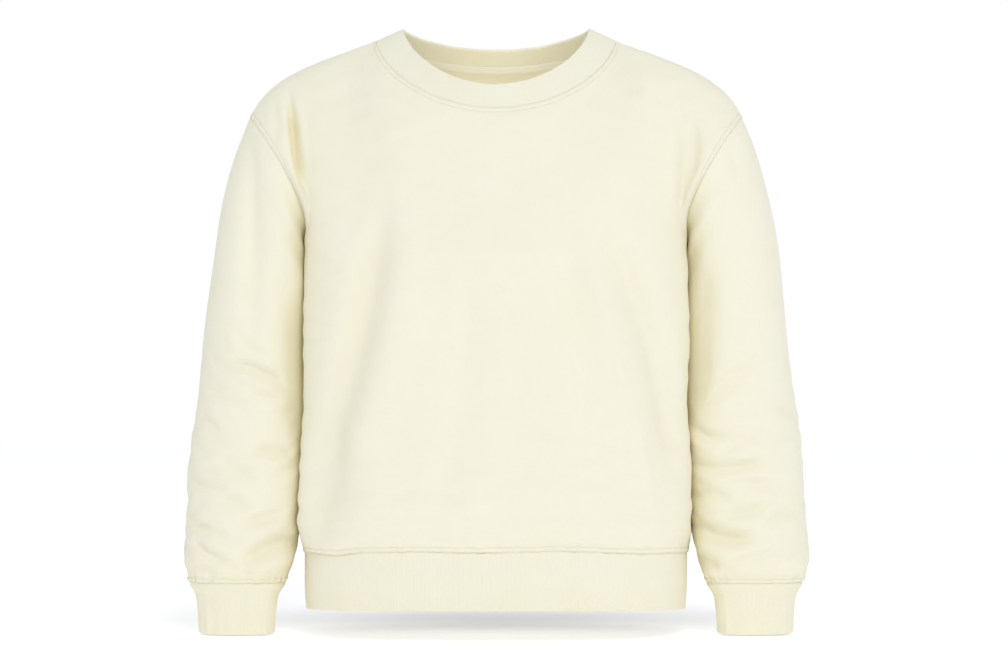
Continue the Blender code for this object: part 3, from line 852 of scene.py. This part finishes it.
def panel_grid(facing):
    """One body panel with its folds, its seams' relief and its unevenness."""
    level, side_across = np.meshgrid(PANEL_LEVELS, PANEL_COLUMNS, indexing="ij")
    surface = panel_surface(facing, side_across, level)
    if facing > 0:
        surface, side_across = surface[:, ::-1], side_across[:, ::-1]
    surface = filled_side(swayed(relaxed(surface, 40)))
    # no crease below the point where the neck and shoulder seams meet
    corner = bump((np.abs(side_across) - NECK_SHARE) / 0.13) * smooth(level / 0.2)
    corner = corner * smooth(distance(surface, 0, from_end=True) / 0.028)
    surface = softened(surface, corner, 240)
    from_side = np.minimum(distance(surface, 1), distance(surface, 1, from_end=True))
    surface = surface + armhole_fill(facing, level, from_side)
    x, z = surface[..., 0], surface[..., 2]
    seed = 10 if facing < 0 else 40

    from_top = distance(surface, 0, from_end=True)
    from_foot = distance(surface, 0)
    from_side = np.minimum(distance(surface, 1), distance(surface, 1, from_end=True))
    along_row = distance(surface, 1)
    free = smooth(from_top / 0.020) * smooth(from_foot / 0.022) * smooth(from_side / 0.016)

    height = fold_height(PANEL_FOLDS[facing], x, z)
    height += 0.0011 * ripples(x, z, seed, 0.120, 0.170)
    height += 0.00028 * ripples(x, z, seed + 1, 0.034, 0.026)
    low = smooth((-0.400 - z) / 0.12)
    height += low * 0.00045 * ripples(x, z, seed + 2, 0.060, 0.022)
    height *= free

    at_neck = smooth((NECK_SHARE + 0.02 - np.abs(side_across)) / 0.02)
    at_arm = smooth(level / 0.15)
    height += seam_relief(from_foot, along_row, seed + 3, pucker=0.0006)
    under = smooth((-0.125 - z) / 0.05) * at_arm
    height += UNDER_TUCK * under * bump((from_side - 0.016) / 0.011)
    height += at_neck * seam_relief(from_top, along_row, seed + 5, 0.0002, 0.0002)
    height += (1 - at_neck) * seam_relief(from_top, along_row, seed + 7, 0.0002, 0.0001, 0.00012)
    height += at_arm * seam_relief(from_side, z, seed + 9, 0.0002, 0.00015, 0.0002)
    height += (1 - at_arm) * seam_relief(from_side, z, seed + 11, RIDGE, 0, 0.0004)
    # flat where the armhole turns under the arm: relief would cross itself in so sharp a bend
    pinch = smooth(bump((z - PINCH_Z) / PINCH_TALL) * bump(from_side / PINCH_WIDE) * 2)
    return surface + normals_of(surface) * (height * (1 - pinch))[..., None]


# ------ the sleeves
SLEEVE_TURNS = 132
SLEEVE_ROUND, SLEEVE_RADIUS = 0.38, 0.06
SLEEVE_FOLD_GAIN = 1.15
SLEEVE_LEVELS = stops((0, 8), (0.022, 180), (0.976, 9), (1, 0))


def sleeve_grid(side):
    """One sleeve, with the columns of the CAD model's right sleeve; side is -1 for the left."""
    turn = np.arange(SLEEVE_TURNS) / SLEEVE_TURNS
    down, around = np.meshgrid(SLEEVE_LEVELS, turn, indexing="ij")
    surface = relaxed(sleeve_surface(around, down), 25, closed=True)
    face = np.where(around < 0.5, -1, 1)
    surface = surface + armhole_fill(face, np.abs(1 - 2 * around), distance(surface, 0))
    normal = normals_of(surface, closed=True)
    x, z = side * surface[..., 0], surface[..., 2]
    seed = 70 if side < 0 else 100

    from_top, from_foot = distance(surface, 0), distance(surface, 0, from_end=True)
    inner = bump((around - 0.5) / 0.14)
    free = smooth(from_top / 0.030) * smooth(from_foot / 0.012)
    round_way = around * SLEEVE_ROUND
    height = np.zeros(x.shape)
    for facing in (-1, 1):
        seen = smooth((facing * normal[..., 1] + 0.05) / 0.60)
        height += SLEEVE_FOLD_GAIN * seen * fold_height(SLEEVE_FOLDS[side, facing], x, z)
    # wrapped, so that the noise meets itself behind the arm
    angle = 2 * math.pi * around
    wrap_x, wrap_y = SLEEVE_RADIUS * np.cos(angle), SLEEVE_RADIUS * np.sin(angle)
    lower = smooth((-0.300 - z) / 0.16)
    height += 0.0006 * ripples(wrap_x + wrap_y, z, seed, 0.080, 0.110) * (1 - 0.5 * inner)
    crumple = ripples(wrap_x, wrap_y + 1.3 * z, seed + 1, 0.085, 0.042)
    height += lower * 0.0006 * (1 - np.abs(crumple)) * (1 - 0.6 * inner)
    height += lower * 0.00030 * ripples(wrap_x - wrap_y, z, seed + 2, 0.040, 0.017)
    height *= free
    # fuller over the front of the underarm
    front_inner = smooth((0.52 - around) / 0.10) * smooth((around - 0.20) / 0.15)
    height += 0.0045 * front_inner * bump((from_top - 0.024) / 0.014)
    height += 0.0050 * bump((around - 0.34) / 0.07) * bump((from_top - 0.060) / 0.030)
    height += seam_relief(from_top, round_way, seed + 3, 0.0001, 0, 0.0002)
    height += seam_relief(from_foot, round_way, seed + 5, 0.0006, 0.0003, 0.0008)
    return surface + normal * height[..., None]


# ------ ribs
WALE = 0.00288  # one rib and its groove
RIB_RELIEF, NECK_RELIEF = 0.00020, 0.00012
RIB_COLUMNS = 6  # the mesh's columns for each rib
HEM_QUARTER, CUFF_ROUND, NECK_QUARTER = 0.2495, 0.272, 0.158  # lengths that the ribs divide


def ridge_heights(columns, rows, seed):
    """The ribs' shape from about -1 to 1: round ridges and narrow grooves, a little uneven."""
    phase = (np.arange(columns) % RIB_COLUMNS + 0.5) / RIB_COLUMNS
    ridge = np.sqrt(np.sin(math.pi * phase)) * 2 - 1.45
    wander = 1 + 0.15 * ripples(np.arange(columns), rows[:, None], seed, 260, 0.9)
    return ridge * wander


def hem_band():
    """The hem's outer face from its seam down, all round, then folded double."""
    quarter = round(HEM_QUARTER / WALE) * RIB_COLUMNS
    length = HEM_SEAM - HEM_EDGE - RIB / 2
    heights = HEM_SEAM - np.concatenate([[0], stops((0.0007, 3), (0.006, 9), (length, 0))])

    def section(facing, share):
        return body_section(HEM, facing, *np.broadcast_arrays(share, heights[:, None]))

    outer = swayed(lifted(all_round(section, quarter)))
    return finish_band(outer, 130, 0.0006, -1, RIB_RELIEF)[:, ::-1]


def cuff_band():
    """The right cuff's outer face from its seam down."""
    columns = round(CUFF_ROUND / WALE) * RIB_COLUMNS
    turn = np.arange(columns) / columns
    length = CUFF_SEAM - CUFF_EDGE - RIB / 2
    heights = CUFF_SEAM - np.concatenate([[0], stops((0.0007, 4), (0.008, 10), (length, 0))])
    height, around = np.meshgrid(heights, turn, indexing="ij")
    return finish_band(oval(CUFF, height, around), 140, 0.0005, 1, RIB_RELIEF)


def neck_band():
    """The neckband's outer face from its seam to its free edge, all round."""
    quarter = round(NECK_QUARTER / WALE) * RIB_COLUMNS
    seam = all_round(lambda facing, share: neck_ring("seam", facing, share), quarter)
    edge = all_round(lambda facing, share: neck_ring("edge", facing, share), quarter)
    width = np.linalg.norm(edge - seam, axis=-1)[None, :, None]
    share = np.concatenate([[0], stops((0.02, 3), (0.16, 7), (1, 0))])[:, None, None]
    reach = share * (width - RIB / 2) / width
    outer = seam * (1 - reach) + edge * reach
    return finish_band(outer, 150, 0.0004, 1, NECK_RELIEF)


def finish_band(outer, seed, slack, sign, relief):
    """A band's faces from its outer one: ribbed, uneven by slack, drawn in and doubled."""
    across, down = steps(outer, 1, True), steps(outer, 0)
    outward = sign * unit(np.cross(across, down))
    rows, columns = outer.shape[:2]
    share = np.linspace(0, 1, rows)
    ridges = ridge_heights(columns, share, seed) * relief
    ridges *= smooth(share / 0.10)[:, None]
    angle = 2 * math.pi * np.arange(columns) / columns
    wobble = ripples(np.cos(angle), np.sin(angle), seed + 1, 0.35, 0.35)
    loose = slack * share**1.5 * smooth((1.2 - share) / 0.3)
    outer = outer + outward * (wobble * loose[:, None])[..., None]
    outer[0] -= outward[0] * SEAM_DIP
    return doubled_band(outer, ridges, outward)


# ------ the pieces
STITCHES = {
    "front_panel": "stitches_front",
    "back_panel": "stitches_back",
    "sleeve_left": "stitches_sleeve_left",
    "sleeve_right": "stitches_sleeve_right",
}


def build():
    """Every piece by the name of its CAD node, and the stitches by their own names."""
    fleece = knit_material(
        "fleece_jersey", CLOTH_LIGHT, CLOTH_DEEP, wale=0.00105, course=0.00085,
        relief=0.0001, fuzz=0.0003, sheen=0.30, shade=0.7,
    )
    rib = knit_material(
        "rib_knit", RIB_LIGHT, RIB_DEEP, wale=WALE / 2, course=0.0011,
        relief=0.00012, fuzz=0.0002, sheen=0.22, shade=0.4,
    )
    tape = plain_material("cotton_tape", TAPE_LIGHT, roughness=0.88, pitch=0.0011)
    thread = plain_material("thread", THREAD, roughness=0.75, pitch=0.0008)

    pieces = {}
    lines = {}
    grids = {"front_panel": panel_grid(-1), "back_panel": panel_grid(1)}
    for name, grid in grids.items():
        edged = drawn_in(grid, False)
        pieces[name] = grid_object(name + "_cloth", edged, fleece, wall=FLEECE)
        neck = grid[::-1, np.abs(PANEL_COLUMNS) <= NECK_SHARE]
        arms = np.swapaxes(grid[PANEL_LEVELS >= 0], 0, 1)
        lines[name] = []
        for away in STITCH_LINES:
            for patch in (neck[:, ::-1], grid, arms[:, ::-1], arms[::-1]):
                at, out = seam_line(patch, away, False)
                lines[name].append((at, out, False))

    for side, name in ((-1, "sleeve_left"), (1, "sleeve_right")):
        grid = sleeve_grid(side)
        edged = drawn_in(grid, True)
        edged = edged if side > 0 else mirrored(edged)
        pieces[name] = grid_object(name + "_cloth", edged, fleece, wrap_columns=True, wall=FLEECE)
        own = grid if side > 0 else mirrored(grid)
        at, out = seam_line(own[::-1, ::-1], CUFF_STITCH, True)
        lines[name] = [(at, out, True)]

    cuff = cuff_band()
    pieces["cuff_right"] = grid_object("cuff_right_rib", cuff, rib, True, True)
    pieces["cuff_left"] = grid_object("cuff_left_rib", mirrored(cuff), rib, True, True)
    pieces["hem_rib"] = grid_object("hem_rib_knit", hem_band(), rib, True, True)
    pieces["neck_rib"] = grid_object("neck_rib_knit", neck_band(), rib, True, True)

    across = np.linspace(-1, 1, 121) * NECK_SHARE * TAPE_REACH
    rows = 1 - stops((1.0, 12), (0.1, 0)) * TAPE_DROP
    level, side_across = np.meshgrid(rows, across[::-1], indexing="ij")
    surface = panel_surface(1, side_across, level)
    surface = surface - normals_of(surface) * (FLEECE + TAPE_GAP)
    surface[-1] += unit(surface[-1] - surface[-2]) * TAPE_OVER
    pieces["neck_tape"] = grid_object("neck_tape_cotton", surface, tape, wall=TAPE)

    for node, name in STITCHES.items():
        pieces[name] = stitches(name, lines[node], thread)
    return pieces


PIECES = build()

# node, slot, the cut's width and length, its flat area, and what it is sewn to or touches
SHEETS = [
    ("front_panel", "fleece", (0.560, 0.640), 0.290, ["sleeve_left", "sleeve_right"]),
    ("back_panel", "fleece", (0.560, 0.660), 0.310, ["front_panel"]),
    ("sleeve_left", "fleece", (0.460, 0.520), 0.165, ["front_panel"]),
    ("sleeve_right", "fleece", (0.460, 0.520), 0.165, ["front_panel"]),
    ("cuff_left", "rib_knit", (0.235, 0.060), None, ["sleeve_left"]),
    ("cuff_right", "rib_knit", (0.235, 0.060), None, ["sleeve_right"]),
    ("hem_rib", "rib_knit", (1.065, 0.064), None, ["front_panel", "back_panel"]),
    ("neck_rib", "rib_knit", (0.650, 0.030), None, ["front_panel", "back_panel"]),
    ("neck_tape", "tape", (0.290, 0.012), None, ["back_panel"]),
]
for node, slot, flat, area, others in SHEETS:
    piece = PIECES[node]
    extras = [PIECES[STITCHES[node]]] if node in STITCHES else []
    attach(piece, "root")
    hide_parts(node)
    for extra in extras:
        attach(extra, "root")

# ------ floor, light and camera
FLOOR_Z, FLOOR_HALF = -0.652, 5.0
FLOOR_GLOW = 0.53
PAINTED_LIGHT_UNDER, PAINTED_SHADOW_BEHIND = 0.20, -0.33  # painted light under the body and painted shadow behind it, added to the floor's glow
CAMERA_PLACE = (0.0088, -3.0, -0.325)
LENS, SENSOR = 97.4, 36


def soft_box(name, place, aim, size, power, colour=(1, 1, 1)):
    """A round soft lamp at a place, turned to face its aim."""
    light = bpy.data.lights.new(name, "AREA")
    light.shape = "DISK"
    light.size = size
    light.energy = power
    light.color = colour
    lamp = bpy.data.objects.new(name, light)
    lamp.location = place
    way = np.array(aim) - np.array(place)
    flat = math.hypot(way[0], way[1])
    lamp.rotation_euler = (math.atan2(flat, -way[2]), 0, math.atan2(way[1], way[0]) - math.pi / 2)
    lamp.visible_camera = False
    bpy.context.scene.collection.objects.link(lamp)


def soft_patch(nodes, u, v):
    """1 in the middle of a soft oval, falling to 0 outside it."""
    apart = nodes.math("ADD", nodes.math("MULTIPLY", u, u), nodes.math("MULTIPLY", v, v))
    return nodes.math("EXPONENT", nodes.math("MULTIPLY", apart, -1.0))


def make_floor():
    """A glowing white floor with painted shadow just behind the body and painted light under it.
    """
    mesh = bpy.data.meshes.new("floor")
    signs = ((-1, -1), (1, -1), (1, 1), (-1, 1))
    corners = [(x * FLOOR_HALF, y * FLOOR_HALF, FLOOR_Z) for x, y in signs]
    mesh.from_pydata(corners, [], [(0, 1, 2, 3)])
    white = Nodes("floor_painted_shadow_and_light")
    white.put(white.shader.inputs["Base Color"], (0.668, 0.675, 0.70, 1))
    white.put(white.shader.inputs["Roughness"], 1.0)
    white.put(white.shader.inputs["Specular IOR Level"], 0.0)
    white.put(white.shader.inputs["Emission Color"], (1, 1, 1, 1))
    position = white.tree.nodes.new("ShaderNodeNewGeometry").outputs["Position"]
    place = white.add("ShaderNodeSeparateXYZ", Vector=position)
    # painted shadow behind the body and painted light under it, as soft ovals in the floor's glow
    across = white.math("DIVIDE", place.outputs["X"], 0.26)
    under = white.math("DIVIDE", white.math("ADD", place.outputs["Y"], 0.02), 0.09)
    behind = white.math("DIVIDE", white.math("SUBTRACT", place.outputs["Y"], 0.16), 0.12)
    glow = white.math("MULTIPLY_ADD", soft_patch(white, across, under), PAINTED_LIGHT_UNDER, FLOOR_GLOW)
    glow = white.math("MULTIPLY_ADD", soft_patch(white, across, behind), PAINTED_SHADOW_BEHIND, glow)
    white.put(white.shader.inputs["Emission Strength"], glow)
    mesh.materials.append(white.material)
    floor = bpy.data.objects.new("floor", mesh)
    bpy.context.scene.collection.objects.link(floor)


def make_world():
    """White behind everything, and a softer white for the light it gives."""
    world = bpy.data.worlds.new("studio")
    world.use_nodes = True
    tree = world.node_tree
    back = tree.nodes["Background"]
    back.inputs["Color"].default_value = (1, 1, 1, 1)
    back.inputs["Strength"].default_value = 1.0
    glow = tree.nodes.new("ShaderNodeBackground")
    glow.inputs["Color"].default_value = (0.97, 0.985, 1.0, 1)
    glow.inputs["Strength"].default_value = 0.69
    mix = tree.nodes.new("ShaderNodeMixShader")
    path = tree.nodes.new("ShaderNodeLightPath")
    tree.links.new(path.outputs["Is Camera Ray"], mix.inputs[0])
    tree.links.new(glow.outputs[0], mix.inputs[1])
    tree.links.new(back.outputs[0], mix.inputs[2])
    tree.links.new(mix.outputs[0], tree.nodes["World Output"].inputs["Surface"])
    bpy.context.scene.world = world


def make_camera():
    camera = bpy.data.objects.new("camera", bpy.data.cameras.new("camera"))
    camera.location = CAMERA_PLACE
    camera.rotation_euler = (math.pi / 2, 0, 0)
    camera.data.lens = LENS
    camera.data.sensor_width = SENSOR
    bpy.context.scene.collection.objects.link(camera)
    bpy.context.scene.camera = camera


make_floor()
make_world()
soft_box("key", (0.65, -2.7, 2.5), (0, 0, -0.3), 1.5, 42)
soft_box("inside", (0, -0.035, -0.125), (0, 0.05, -0.045), 0.07, 0.108, (1.0, 0.95, 0.80))
make_camera()
bpy.context.scene.view_settings.view_transform = "Standard"
